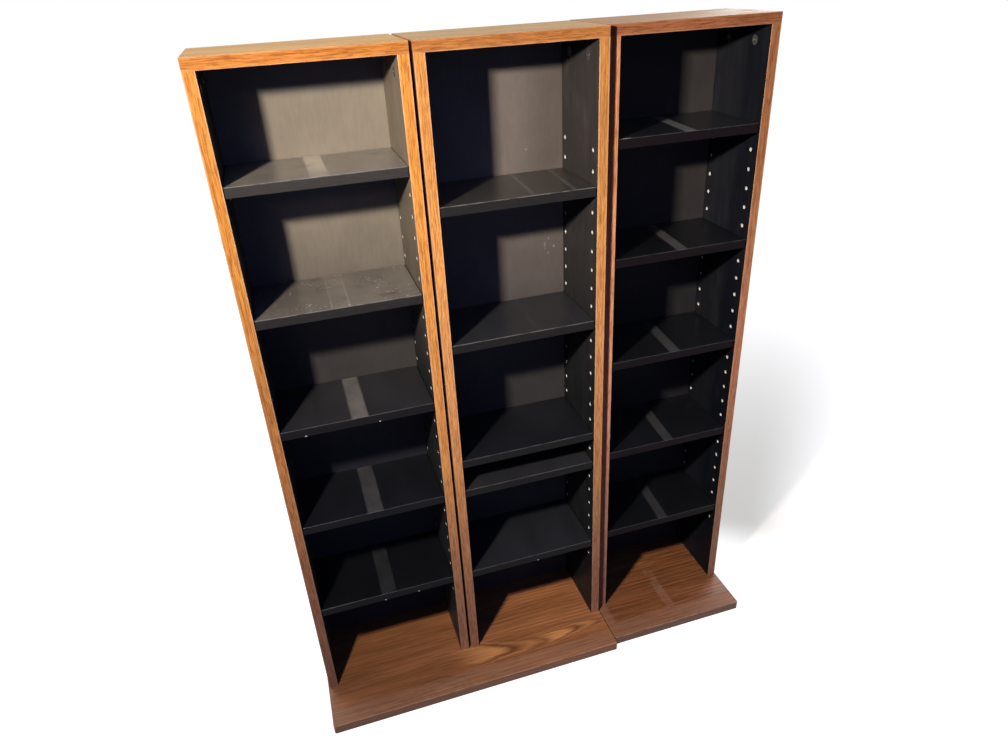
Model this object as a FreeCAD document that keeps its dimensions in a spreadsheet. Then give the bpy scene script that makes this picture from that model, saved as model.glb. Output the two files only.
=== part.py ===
import FreeCAD, Part
import Sketcher
import os
import re

# Three matching disc towers: two on one shared base board, the third on a base board of its own.
# Millimetres, +Z up, origin on the floor at the middle of the whole set, fronts facing -Y.

doc = FreeCAD.newDocument("media_towers")
sheet = doc.addObject("Spreadsheet::Sheet", "Sizes")

sizes = [
    ("tower_width", "280", "outside width of one tower"),
    ("tower_depth", "152", "front of the edging to the rear of the sides"),
    ("board", "16", "thickness of a side board"),
    ("top_thickness", "16", "thickness of a top board"),
    ("edging_thickness", "0.6", "oak strip on the front edges"),
    ("pin_pitch", "32", "hole to hole up a row of shelf pin holes"),
    ("pin_count", "26", "holes in one row, a count"),
    ("pin_row_end", "155", "end hole of a row to the end of the side"),
    ("pin_inset", "19", "row of holes to the front or rear of the tower"),
    ("pin_bore", "5", "diameter of a shelf pin hole"),
    ("pin_hole_floor", "6", "board left behind a shelf pin hole"),
    ("pin_clearance", "0.05", "peg to its hole, on the radius"),
    ("pin_peg", "8", "peg length inside the hole"),
    ("pin_width", "8", "width of a pin's seat"),
    ("pin_flange", "0.8", "thickness of a pin's flange on the wall"),
    ("pin_rise", "3", "flange above the hole's centre"),
    ("pin_reach", "9", "seat out from the wall"),
    ("pin_seat", "2", "thickness of a pin's seat"),
    ("pin_drop", "2.5", "top of the seat below the hole's centre"),
    ("shelf_thickness", "15", "thickness of a shelf"),
    ("shelf_end_gap", "1", "shelf end to the wall"),
    ("shelf_front_inset", "2", "shelf behind the front of the tower"),
    ("shelf_back_gap", "1", "shelf to the back panel"),
    ("shelf_round", "0.8", "eased front edge of a shelf"),
    ("back_thickness", "3", "back panel"),
    ("back_inset", "4", "back panel to the rear of the sides"),
    ("groove_floor", "10", "board left behind the back panel's groove"),
    ("groove_clearance", "0.2", "back panel to its groove"),
    ("cam_bore", "15", "diameter of a cam bore"),
    ("cam_floor", "3.3", "board left behind a cam bore"),
    ("cam_clearance", "0.1", "cam to its bore, on the radius and the depth"),
    ("cam_drop", "24", "cam centre below the end of the side"),
    ("cam_inset", "40", "cam centre to the front or rear of the tower"),
    ("cam_slot", "2.4", "width of the driver slots in a cam"),
    ("cam_slot_length", "9", "length of the driver slots in a cam"),
    ("cam_slot_depth", "3", "depth of the driver slots in a cam"),
    ("bolt_bore", "7.4", "passage of a cam bolt in the side"),
    ("bolt_head", "6.6", "diameter of a cam bolt's head"),
    ("bolt_head_height", "3.5", "height of a cam bolt's head"),
    ("bolt_neck", "4", "diameter of a cam bolt's neck"),
    ("bolt_thread", "5", "diameter of a cam bolt's thread"),
    ("bolt_top_floor", "5", "top board left above a cam bolt"),
    ("thread_clearance", "0.05", "thread to its hole, on the radius"),
    ("dowel_diameter", "8", "wooden dowel"),
    ("dowel_bite", "20", "dowel inside the side"),
    ("dowel_tip", "6", "diameter of a dowel's ends"),
    ("dowel_taper", "1.5", "length of a dowel's tapered ends"),
    ("dowel_top_floor", "6", "top board left above a dowel"),
    ("dowel_clearance", "0.05", "dowel to its hole, on the radius and at each end"),
    ("base_thickness", "18", "base board"),
    ("base_front_reach", "90", "base board in front of the tower"),
    ("base_side_reach", "2.5", "base board beside the tower"),
    ("base_round", "1.5", "rounded rim of a base board"),
    ("base_corner", "4", "rounded front corners of a base board"),
    ("tower_gap", "5", "between the two towers on the shared base"),
    ("unit_gap", "0.8", "between the two base boards"),
    ("unit_setback", "12", "single tower behind the other two"),
    ("screw_head", "10", "diameter of a base screw's head"),
    ("screw_head_height", "3", "height of a base screw's head"),
    ("screw_recess", "1", "head up from the underside of the base"),
    ("screw_shank", "7", "diameter of a base screw in the base"),
    ("screw_thread", "5", "diameter of a base screw in the side"),
    ("screw_bite", "32", "screw inside the side"),
    ("screw_inset", "34", "base screw to the front or rear of the tower"),
    ("screw_socket", "4", "hexagon socket across its corners"),
    ("screw_socket_depth", "2", "depth of the hexagon socket"),
    ("screw_clearance", "0.05", "screw to its hole, on the radius and at its end"),
]

# Sizes that follow from the driving ones.
formulas = {
    "inner_width": "tower_width - 2 * board",
    "side_depth": "tower_depth - edging_thickness",
    "side_height": "(pin_count - 1) * pin_pitch + 2 * pin_row_end",
    "board_middle": "board / 2",
    "back_front": "tower_depth - back_inset - back_thickness",
    "back_bite": "board - groove_floor - groove_clearance",
    "back_width": "inner_width + 2 * back_bite",
    "groove_depth": "board - groove_floor",
    "groove_start": "back_front - edging_thickness - groove_clearance",
    "groove_width": "back_thickness + 2 * groove_clearance",
    "pin_hole_depth": "board - pin_hole_floor",
    "pin_front": "pin_inset - edging_thickness",
    "pin_rear": "side_depth - pin_inset",
    "shelf_width": "inner_width - 2 * shelf_end_gap",
    "shelf_depth": "back_front - shelf_front_inset - shelf_back_gap",
    "cam_depth": "board - cam_floor",
    "cam_front": "cam_inset - edging_thickness",
    "cam_rear": "side_depth - cam_inset",
    "cam_height": "side_height - cam_drop",
    "cam_radius": "cam_bore / 2 - cam_clearance",
    "cam_thickness": "cam_depth - cam_clearance",
    "bolt_bite": "top_thickness - bolt_top_floor",
    "bolt_reach": "cam_drop + bolt_head / 2",
    "dowel_place": "side_depth / 2",
    "dowel_top_bite": "top_thickness - dowel_top_floor",
    "screw_front": "screw_inset - edging_thickness",
    "screw_rear": "side_depth - screw_inset",
    "single_width": "tower_width + 2 * base_side_reach",
    "double_width": "2 * tower_width + tower_gap + 2 * base_side_reach",
    "base_depth": "base_front_reach + tower_depth",
    "set_width": "double_width + unit_gap + single_width",
    "set_depth": "base_depth + unit_setback",
    "left_x": "base_side_reach - set_width / 2",
    "middle_x": "left_x + tower_width + tower_gap",
    "right_x": "set_width / 2 - base_side_reach - tower_width",
    "front_y": "base_front_reach - set_depth / 2",
    "right_front_y": "front_y + unit_setback",
    "side_top": "base_thickness + side_height",
}

# Shelves from the top down, each given by the number of its pin hole counted from the lowest.
towers = {
    "left_tower": {"x": "left_x", "y": "front_y", "holes": (25, 19, 13, 7, 1)},
    "middle_tower": {"x": "middle_x", "y": "front_y", "holes": (23, 16, 9, 7, 1)},
    "right_tower": {"x": "right_x", "y": "right_front_y", "holes": (25, 19, 13, 7, 1)},
}
bases = {
    "double_base": {"towers": ("left_tower", "middle_tower"), "width": "double_width"},
    "single_base": {"towers": ("right_tower",), "width": "single_width"},
}

for row, (name, value, note) in enumerate(sizes, start=1):
    sheet.set(f"A{row}", name)
    sheet.set(f"B{row}", value)
    sheet.set(f"C{row}", note)
    sheet.setAlias(f"B{row}", name)
doc.recompute()
aliases = {name for name, value, note in sizes}
subparts = []


def sized(text):
    """The expression for a formula in words: each size is read from the sheet."""
    def word(match):
        name = match.group(0)
        if name in aliases:
            return f"Sizes.{name}"
        return f"({sized(formulas[name])})"
    return re.sub(r"[a-z][a-z_]+", word, text)


def bind(item, **settings):
    """Tie properties of an object to formulas."""
    for name, text in settings.items():
        item.setExpression(name, sized(text))


def place(item, x, y, z):
    for axis, text in zip("xyz", (x, y, z)):
        item.setExpression(f".Placement.Base.{axis}", sized(text))


def keep(item, label):
    """Mark an object as a sub-part that gets a file of its own."""
    item.Label = label
    subparts.append(item)


def origin_part(body, role):
    return next(item for item in body.Origin.OriginFeatures if item.Role == role)


def new_body(label, x, y, z):
    body = doc.addObject("PartDesign::Body", label)
    place(body, x, y, z)
    keep(body, label)
    return body


def new_sketch(body, name, plane, height="0"):
    sketch = body.newObject("Sketcher::SketchObject", name)
    sketch.AttachmentSupport = [(origin_part(body, plane), "")]
    sketch.MapMode = "FlatFace"
    if height != "0":
        sketch.setExpression(".AttachmentOffset.Base.z", sized(height))
    return sketch


def hold_point(sketch, line, end, x, y):
    """Fix a point of the sketch at x, y from the sketch's origin."""
    for kind, axis, text in (("DistanceX", -2, x), ("DistanceY", -1, y)):
        if text == "0":
            sketch.addConstraint(Sketcher.Constraint("PointOnObject", line, end, axis))
        else:
            number = sketch.addConstraint(Sketcher.Constraint(kind, -1, 1, line, end, 1.0))
            sketch.setExpression(f"Constraints[{number}]", sized(text))


def rectangle(sketch, x, y, width, height):
    corners = [FreeCAD.Vector(*point, 0) for point in ((0, 0), (1, 0), (1, 1), (0, 1))]
    first = sketch.GeometryCount
    for start, end in zip(corners, corners[1:] + corners[:1]):
        sketch.addGeometry(Part.LineSegment(start, end), False)
    for side in range(4):
        following = first + (side + 1) % 4
        sketch.addConstraint(Sketcher.Constraint("Coincident", first + side, 2, following, 1))
        kind = "Horizontal" if side % 2 == 0 else "Vertical"
        sketch.addConstraint(Sketcher.Constraint(kind, first + side))
    hold_point(sketch, first, 1, x, y)
    for kind, line, text in (("DistanceX", first, width), ("DistanceY", first + 1, height)):
        number = sketch.addConstraint(Sketcher.Constraint(kind, line, 1, line, 2, 1.0))
        sketch.setExpression(f"Constraints[{number}]", sized(text))


def circle(sketch, x, y, diameter):
    round_line = Part.Circle(FreeCAD.Vector(1, 1, 0), FreeCAD.Vector(0, 0, 1), 1.0)
    number = sketch.addGeometry(round_line, False)
    hold_point(sketch, number, 3, x, y)
    rule = sketch.addConstraint(Sketcher.Constraint("Diameter", number, 1.0))
    sketch.setExpression(f"Constraints[{rule}]", sized(diameter))


def pad(body, name, width, depth, height):
    """A block with its corner at the body's origin."""
    sketch = new_sketch(body, f"{name}_outline", "XY_Plane")
    rectangle(sketch, "0", "0", width, depth)
    feature = body.newObject("PartDesign::Pad", name)
    feature.Profile = sketch
    bind(feature, Length=height)
    doc.recompute()


def pocket(body, name, sketch, depth, reverse):
    """Cut a sketch into the body, and make sure that it took material away."""
    before = body.Shape.Volume
    feature = body.newObject("PartDesign::Pocket", name)
    feature.Profile = sketch
    feature.Reversed = reverse
    bind(feature, Length=depth)
    doc.recompute()
    if not body.Shape.Volume < before:
        raise RuntimeError(f"{body.Label}: {name} cuts nothing")
    return feature


def front_face(body):
    return min(body.Shape.Faces, key=lambda face: face.CenterOfMass.y)


def runs_across(edge):
    """Whether an edge of a front face runs across it, not up it."""
    return edge.BoundBox.XLength > edge.BoundBox.ZLength


def round_edges(body, name, edges, radius):
    """Fillet some edges of the body, and what runs on smoothly from them."""
    names = [f"Edge{i}" for i, edge in enumerate(body.Shape.Edges, start=1)
             if any(edge.isSame(other) for other in edges)]
    before = body.Shape.Volume
    solid = body.Tip
    feature = body.newObject("PartDesign::Fillet", name)
    feature.Base = (solid, names)
    bind(feature, Radius=radius)
    doc.recompute()
    if not body.Shape.Volume < before:
        raise RuntimeError(f"{body.Label}: {name} rounds nothing")


def box(name, x, y, z, width, depth, height):
    item = doc.addObject("Part::Box", name)
    bind(item, Length=width, Width=depth, Height=height)
    place(item, x, y, z)
    return item


def cylinder(name, diameter, height, x="0", z="0", along_x=False):
    item = doc.addObject("Part::Cylinder", name)
    if along_x:
        item.Placement.Rotation = FreeCAD.Rotation(FreeCAD.Vector(0, 1, 0), 90)
    bind(item, Radius=f"({diameter}) / 2", Height=height)
    place(item, x, "0", z)
    return item


def cone(name, lower_diameter, upper_diameter, height, z):
    item = doc.addObject("Part::Cone", name)
    bind(item, Radius1=f"({lower_diameter}) / 2", Radius2=f"({upper_diameter}) / 2", Height=height)
    place(item, "0", "0", z)
    return item


def fuse(name, *pieces):
    item = doc.addObject("Part::MultiFuse", name)
    item.Shapes = list(pieces)
    return item


def cut(name, base, tool):
    item = doc.addObject("Part::Cut", name)
    item.Base = base
    item.Tool = tool
    return item


def group(label, pieces):
    """Several separate solids of one kind in one sub-part."""
    item = doc.addObject("Part::Compound", label)
    item.Links = pieces
    keep(item, label)


def copies(label, master, places):
    """A group of copies of one small piece, each at x, y, z and turned half round where asked."""
    half_turn = FreeCAD.Rotation(FreeCAD.Vector(0, 0, 1), 180)
    pieces = []
    for number, (x, y, z, turned) in enumerate(places, start=1):
        link = doc.addObject("App::Link", f"{label}_{number}")
        link.LinkedObject = master
        if turned:
            link.Placement.Rotation = half_turn
        place(link, x, y, z)
        pieces.append(link)
    group(label, pieces)


def shelf_pin():
    """An L-shaped pin on the left wall: peg into the hole at -X, flange on the wall, seat at +X."""
    lowest = "-pin_drop - pin_seat"
    peg = cylinder("pin_peg_rod", "pin_bore - 2 * pin_clearance", "pin_peg + pin_flange", "-pin_peg",
                   along_x=True)
    flange = box("pin_flange_plate", "0", "-pin_width / 2", lowest, "pin_flange", "pin_width",
                 "pin_drop + pin_seat + pin_rise")
    seat = box("pin_seat_plate", "0", "-pin_width / 2", lowest, "pin_reach", "pin_width", "pin_seat")
    return fuse("shelf_pin", peg, flange, seat)


def cam_disc():
    """A cam on the left wall: flush with the wall at x = 0, with a bolt passage and a driver cross."""
    disc = cylinder("cam_round", "2 * cam_radius", "cam_thickness", "-cam_thickness", along_x=True)
    passage = cylinder("cam_passage", "bolt_bore", "cam_bore", "-board_middle", "-bolt_head")
    across = box("cam_slot_across", "-cam_slot_depth", "-cam_slot_length / 2", "-cam_slot / 2",
                 "cam_bore", "cam_slot_length", "cam_slot")
    upright = box("cam_slot_upright", "-cam_slot_depth", "-cam_slot / 2", "-cam_slot_length / 2",
                  "cam_bore", "cam_slot", "cam_slot_length")
    return cut("cam_disc", disc, fuse("cam_cuts", passage, across, upright))


def cam_bolt():
    """A bolt whose z = 0 is the underside of the top: thread above, neck and head below."""
    thread = cylinder("bolt_thread_rod", "bolt_thread", "bolt_bite")
    neck = cylinder("bolt_neck_rod", "bolt_neck", "bolt_reach", z="-bolt_reach")
    head = cylinder("bolt_head_rod", "bolt_head", "bolt_head_height", z="-bolt_reach")
    return fuse("cam_bolt", thread, neck, head)


def dowel():
    """A dowel with tapered ends, whose z = 0 is the underside of the top."""
    width, tip = "dowel_diameter - 2 * dowel_clearance", "dowel_tip"
    low, high = "dowel_clearance - dowel_bite", "dowel_top_bite - dowel_clearance"
    rod = cylinder("dowel_rod", width, f"{high} - ({low}) - 2 * dowel_taper", z=f"{low} + dowel_taper")
    lower = cone("dowel_lower_end", tip, width, "dowel_taper", low)
    upper = cone("dowel_upper_end", width, tip, "dowel_taper", f"{high} - dowel_taper")
    return fuse("dowel", rod, lower, upper)


def base_screw():
    """A screw whose z = 0 is the underside of the base: head in its recess, thread in the side."""
    head = cylinder("screw_head_rod", "screw_head", "screw_head_height", z="screw_recess")
    shank = cylinder("screw_shank_rod", "screw_shank", "base_thickness - screw_recess", z="screw_recess")
    thread = cylinder("screw_thread_rod", "screw_thread", "screw_bite - screw_clearance",
                      z="base_thickness")
    socket = doc.addObject("Part::Prism", "screw_socket_hole")
    socket.Polygon = 6
    bind(socket, Circumradius="screw_socket / 2", Height="2 * screw_socket_depth")
    place(socket, "0", "0", "screw_recess - screw_socket_depth")
    return cut("base_screw", fuse("screw_rod", head, shank, thread), socket)


def side(label, x, y, inner_right):
    """An upright side board. Its inner face, with the pin holes, is on the right or on the left."""
    body = new_body(label, x, f"{y} + edging_thickness", "base_thickness")
    pad(body, "board", "board", "side_depth", "side_height")
    face = "board" if inner_right else "0"
    inward = not inner_right

    holes = new_sketch(body, "pin_holes_outline", "YZ_Plane", face)
    for row in ("pin_front", "pin_rear"):
        circle(holes, row, "pin_row_end", "pin_bore")
    lowest = pocket(body, "lowest_pin_holes", holes, "pin_hole_depth", inward)
    before = body.Shape.Volume
    rows = body.newObject("PartDesign::LinearPattern", "pin_holes")
    rows.Originals = [lowest]
    rows.Direction = (origin_part(body, "Z_Axis"), [""])
    bind(rows, Length="(pin_count - 1) * pin_pitch", Occurrences="pin_count")
    body.Tip = rows
    doc.recompute()
    if not body.Shape.Volume < before:
        raise RuntimeError(f"{label}: the rows of pin holes cut nothing")

    groove = new_sketch(body, "groove_outline", "YZ_Plane", face)
    rectangle(groove, "groove_start", "0", "groove_width", "side_height")
    pocket(body, "groove", groove, "groove_depth", inward)

    cams = new_sketch(body, "cam_bores_outline", "YZ_Plane", face)
    for place_y in ("cam_front", "cam_rear"):
        circle(cams, place_y, "cam_height", "cam_bore")
    pocket(body, "cam_bores", cams, "cam_depth", inward)

    passages = new_sketch(body, "bolt_passages_outline", "XY_Plane", "side_height")
    for place_y in ("cam_front", "cam_rear"):
        circle(passages, "board_middle", place_y, "bolt_bore")
    pocket(body, "bolt_passages", passages, "bolt_reach", False)

    dowels = new_sketch(body, "dowel_hole_outline", "XY_Plane", "side_height")
    circle(dowels, "board_middle", "dowel_place", "dowel_diameter")
    pocket(body, "dowel_hole", dowels, "dowel_bite", False)

    screws = new_sketch(body, "screw_holes_outline", "XY_Plane")
    for place_y in ("screw_front", "screw_rear"):
        circle(screws, "board_middle", place_y, "screw_thread + 2 * screw_clearance")
    pocket(body, "screw_holes", screws, "screw_bite", True)


def top(label, x, y):
    """The board over both sides, bored from below for the cam bolts and the dowels."""
    body = new_body(label, x, f"{y} + edging_thickness", "side_top")
    pad(body, "board", "tower_width", "side_depth", "top_thickness")
    middles = ("board_middle", "tower_width - board_middle")
    bolts = new_sketch(body, "bolt_holes_outline", "XY_Plane")
    dowels = new_sketch(body, "dowel_holes_outline", "XY_Plane")
    for place_x in middles:
        circle(dowels, place_x, "dowel_place", "dowel_diameter")
        for place_y in ("cam_front", "cam_rear"):
            circle(bolts, place_x, place_y, "bolt_thread + 2 * thread_clearance")
    pocket(body, "bolt_holes", bolts, "bolt_bite", True)
    pocket(body, "dowel_holes", dowels, "dowel_top_bite", True)


def edging(label, x, y):
    """The oak strips on the front edges: one down each side, one along the top."""
    right = f"{x} + tower_width - board"
    strips = [
        box(f"{label}_left", x, y, "base_thickness", "board", "edging_thickness", "side_height"),
        box(f"{label}_right", right, y, "base_thickness", "board", "edging_thickness", "side_height"),
        box(f"{label}_top", x, y, "side_top", "tower_width", "edging_thickness", "top_thickness"),
    ]
    group(label, strips)


def back(label, x, y):
    """The thin panel that stands in the grooves of both sides."""
    body = new_body(label, f"{x} + board - back_bite", f"{y} + back_front", "base_thickness")
    pad(body, "panel", "back_width", "back_thickness", "side_height")


def shelf(label, x, y, hole):
    """A loose shelf on four pins, with its front edges eased."""
    height = f"base_thickness + pin_row_end + {hole} * pin_pitch - pin_drop"
    body = new_body(label, f"{x} + board + shelf_end_gap", f"{y} + shelf_front_inset", height)
    pad(body, "board", "shelf_width", "shelf_depth", "shelf_thickness")
    eased = [edge for edge in front_face(body).Edges if runs_across(edge)]
    round_edges(body, "eased_front", eased, "shelf_round")


def base(label, x, y, width, tower_places):
    """A base board, rounded round its front and ends, with recessed screw holes under each side."""
    body = new_body(label, f"{x} - base_side_reach", f"{y} - base_front_reach", "0")
    pad(body, "board", width, "base_depth", "base_thickness")
    corners = [edge for edge in front_face(body).Edges if not runs_across(edge)]
    round_edges(body, "round_corners", corners, "base_corner")
    upper = max(body.Shape.Faces, key=lambda face: face.CenterOfMass.z)
    rim = min(upper.Edges, key=lambda edge: edge.CenterOfMass.y)
    round_edges(body, "round_rim", [rim], "base_round")
    shanks = new_sketch(body, "screw_holes_outline", "XY_Plane")
    heads = new_sketch(body, "screw_recesses_outline", "XY_Plane")
    for place_x, place_y in tower_places:
        circle(shanks, place_x, place_y, "screw_shank + 2 * screw_clearance")
        circle(heads, place_x, place_y, "screw_head + 2 * screw_clearance")
    pocket(body, "screw_holes", shanks, "base_thickness", True)
    pocket(body, "screw_recesses", heads, "screw_recess + screw_head_height", True)


def side_middles(x):
    """Where the middles of a tower's two side boards stand, for a tower at x."""
    return f"{x} + board_middle", f"{x} + tower_width - board_middle"


def inner_faces(x):
    """The walls inside a tower: their x, and whether the wall is the right one."""
    return (f"{x} + board", False), (f"{x} + tower_width - board", True)


pin_master = shelf_pin()
cam_master = cam_disc()
bolt_master = cam_bolt()
dowel_master = dowel()
screw_master = base_screw()

for name, tower in towers.items():
    x, y = tower["x"], tower["y"]
    side(f"{name}_left_side", x, y, True)
    side(f"{name}_right_side", f"{x} + tower_width - board", y, False)
    top(f"{name}_top", x, y)
    edging(f"{name}_edging", x, y)
    back(f"{name}_back", x, y)
    for number, hole in enumerate(tower["holes"], start=1):
        shelf(f"{name}_shelf_{number}", x, y, hole)
        level = f"base_thickness + pin_row_end + {hole} * pin_pitch"
        copies(f"{name}_shelf_pins_{number}", pin_master,
               [(wall, f"{y} + {row}", level, turned) for wall, turned in inner_faces(x)
                for row in ("pin_inset", "tower_depth - pin_inset")])
    depths = (f"{y} + cam_inset", f"{y} + tower_depth - cam_inset")
    copies(f"{name}_cam_discs", cam_master,
           [(wall, depth, "side_top - cam_drop", turned) for wall, turned in inner_faces(x)
            for depth in depths])
    copies(f"{name}_cam_bolts", bolt_master,
           [(middle, depth, "side_top", False) for middle in side_middles(x) for depth in depths])
    copies(f"{name}_dowels", dowel_master,
           [(middle, f"{y} + edging_thickness + dowel_place", "side_top", False)
            for middle in side_middles(x)])

for name, unit in bases.items():
    corner = towers[unit["towers"][0]]
    screw_places = []
    screw_spots = []
    for tower in (towers[tower_name] for tower_name in unit["towers"]):
        for middle in side_middles(tower["x"]):
            for depth in ("screw_inset", "tower_depth - screw_inset"):
                local_x = f"{middle} - ({corner['x']}) + base_side_reach"
                screw_places.append((local_x, f"base_front_reach + {depth}"))
                screw_spots.append((middle, f"{tower['y']} + {depth}", "0", False))
    base(name, corner["x"], corner["y"], unit["width"], screw_places)
    copies(f"{name}_screws", screw_master, screw_spots)

doc.recompute()
for item in doc.Objects:
    if {"Invalid", "Error"} & set(item.State):
        raise RuntimeError(f"{item.Label} failed: {item.State}")
for item in subparts:
    if item.Shape.isNull() or not item.Shape.isValid():
        raise RuntimeError(f"{item.Label} has no sound shape")

os.makedirs("parts", exist_ok=True)
for item in subparts:
    item.Shape.exportStep(f"parts/{item.Label}.step")
print(f"{len(subparts)} sub-parts written")
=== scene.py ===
import bpy
import math
import numpy as np
from mathutils import Matrix, Vector


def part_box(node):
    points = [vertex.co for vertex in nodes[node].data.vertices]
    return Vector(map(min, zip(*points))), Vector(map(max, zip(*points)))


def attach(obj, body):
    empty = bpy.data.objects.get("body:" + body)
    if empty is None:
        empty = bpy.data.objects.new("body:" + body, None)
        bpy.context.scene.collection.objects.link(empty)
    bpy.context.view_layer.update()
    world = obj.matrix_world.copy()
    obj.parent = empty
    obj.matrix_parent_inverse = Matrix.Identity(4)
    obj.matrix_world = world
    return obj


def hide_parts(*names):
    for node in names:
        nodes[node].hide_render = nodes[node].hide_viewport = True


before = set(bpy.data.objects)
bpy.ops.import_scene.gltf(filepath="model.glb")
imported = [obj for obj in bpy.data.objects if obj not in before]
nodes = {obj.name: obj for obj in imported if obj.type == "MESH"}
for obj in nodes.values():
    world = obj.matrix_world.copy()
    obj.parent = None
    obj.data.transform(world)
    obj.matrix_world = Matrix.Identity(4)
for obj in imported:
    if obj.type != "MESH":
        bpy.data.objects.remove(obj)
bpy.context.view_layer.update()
print("frame loaded:", len(nodes), "nodes")

mm = 0.001
shelfNumbers = range(1, 6)  # from the top down
bareCore = (0.42, 0.41, 0.39)  # pale board where the finish is knocked off

# Finishes that differ from tower to tower. Colours are linear RGB, a pair is (low, high). The differences
# from tower to tower and from low to high are partly painted light: paler on the left tower and higher up,
# where the lamp falls strongest.
# strips: painted light, tones of the left and right upright at the floor, halfway and at the top; crossTone
# is the same for the cross strip
# shelf, wear, dust and border: one number for each shelf, from the top down
# strip: the bare strip on the shelves that no case covered, with its shift, lean, width and soft border,
# and front, how much of its dust is left in front on the shelves that are named
# marks, scuffs and nicks: (place, place, half width, half height) in millimetres
# chips: places along the front in millimetres
towers = {
    "left_tower": {
        "seed": 1.3, "fadeSpan": (0.62, 0.95), "top": (0.350, 0.205, 0.062),
        "edging": ((0.292, 0.147, 0.091), (0.515, 0.236, 0.050)),
        "strips": ((0.92, 0.76, 0.92), (1.16, 1.04, 1.12)), "crossTone": 0.96, "blush": (1.05, 0.99, 1.15),
        "wall": ((0.010, 0.011, 0.0132), (0.088, 0.074, 0.058)),
        "panel": ((0.034, 0.032, 0.033), (0.148, 0.132, 0.111)), "paintedShadow": (0.48, 0.53, 0.70),
        "shelf": (0.145, 0.095, 0.0140, 0.0046, 0.0022), "wear": (0.62, 0.62, 0.24, 0.15, 0.13),
        "band": ((0.0064, 0.0064, 0.0082), (0.024, 0.023, 0.024)),
        "strip": {
            "at": 1.9 * mm, "lean": 0.0, "wide": 26 * mm, "soft": 1.8 * mm,
            "colours": ((0.35, 0.36, 0.40), (0.38, 0.35, 0.29)),
            "dust": (1.0, 0.06, 0.24, 0.095, 0.042), "border": (0.30, 0.26, 0.20, 0.10, 0.05),
            "front": {1: 0.45}},
        "marks": {
            1: ((-220, 60, 1.2, 0.8), (-188, 40, 0.8, 2.5), (-165, 6, 1.2, 7), (-166, 98, 1.4, 4)),
            2: ((-295, 104, 3, 1.2), (-270, 104, 2, 1.6), (-283, 105, 11, 0.8), (-353, 50, 0.9, 3),
                (-352, 58, 0.8, 1.6))},
        "chips": {3: (-371, -253), 5: (-292, -229)},
    },
    "middle_tower": {
        "seed": 4.1, "fadeSpan": (0.48, 0.98), "top": (0.280, 0.176, 0.068),
        "edging": ((0.285, 0.140, 0.081), (0.505, 0.242, 0.066)),
        "strips": ((1.14, 1.07, 1.02), (1.06, 1.03, 0.98)), "crossTone": 0.84,
        "wall": ((0.0059, 0.0066, 0.0080), (0.0177, 0.0164, 0.0168)),
        "panel": ((0.0273, 0.0268, 0.0295), (0.102, 0.090, 0.084)),
        "paintedShadeBorder": {"x": (0.035, 0.10), "z": (0.85, 0.95), "tone": 0.70},
        "shelf": (0.0220, 0.0120, 0.0050, 0.0130, 0.0098), "wear": (0.66, 0.60, 0.42, 0.38, 0.36),
        "band": ((0.0088, 0.0088, 0.0098), (0.0122, 0.0118, 0.0132)),
        "strip": {
            "at": 55.8 * mm, "lean": 0.06, "wide": 66 * mm, "soft": 6 * mm,
            "colours": ((0.16, 0.155, 0.150), (0.16, 0.155, 0.150)),
            "dust": (0.0, 0.0, 0.0, 0.0, 0.0), "border": (0.34, 0.03, 0.0, 0.0, 0.0),
            "front": {}},
        "marks": {1: ((36, 36, 1.3, 1.3),)},
        "chips": {5: (9,)},
        "scuffs": ((89, 789, 1.7, 9), (106, 786, 3, 3), (95, 774, 1.3, 5), (60, 958, 4, 1.2),
                   (96, 801, 1.2, 3)),
        "nicks": ((139.2, 147, 0.8, 2.5), (139.3, 74, 0.7, 3)),
    },
    "right_tower": {
        "seed": 7.7, "fadeSpan": (0.50, 0.95), "top": (0.215, 0.120, 0.055),
        "edging": ((0.170, 0.089, 0.056), (0.310, 0.140, 0.057)),
        "strips": ((1.80, 1.80, 1.75), (1.72, 1.27, 1.10)), "crossTone": 1.03, "gapShadowTint": (1.0, 0.62, 0.38),
        "wall": ((0.0041, 0.0046, 0.0057), (0.0055, 0.0059, 0.0068)),
        "wallPaintedShade": ((0.58, 0.64, 0.85), (1.08, 1.08, 1.25)),
        "panel": ((0.0136, 0.0136, 0.0164), (0.0245, 0.0230, 0.0242)),
        "shelf": (0.0040, 0.0018, 0.0028, 0.0030, 0.0022), "wear": (0.16, 0.16, 0.16, 0.16, 0.16),
        "band": ((0.0039, 0.0024, 0.0036), (0.0043, 0.0026, 0.0040)),
        "strip": {
            "at": 1.6 * mm, "lean": 0.082, "wide": 20 * mm, "soft": 1.8 * mm,
            "colours": ((0.155, 0.155, 0.160), (0.155, 0.155, 0.160)),
            "dust": (0.50, 0.27, 0.19, 0.15, 0.12), "border": (0.10, 0.06, 0.06, 0.06, 0.06),
            "front": {}},
        "marks": {1: ((177, -22, 9, 2.4),)},
        "chips": {},
    },
}


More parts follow.
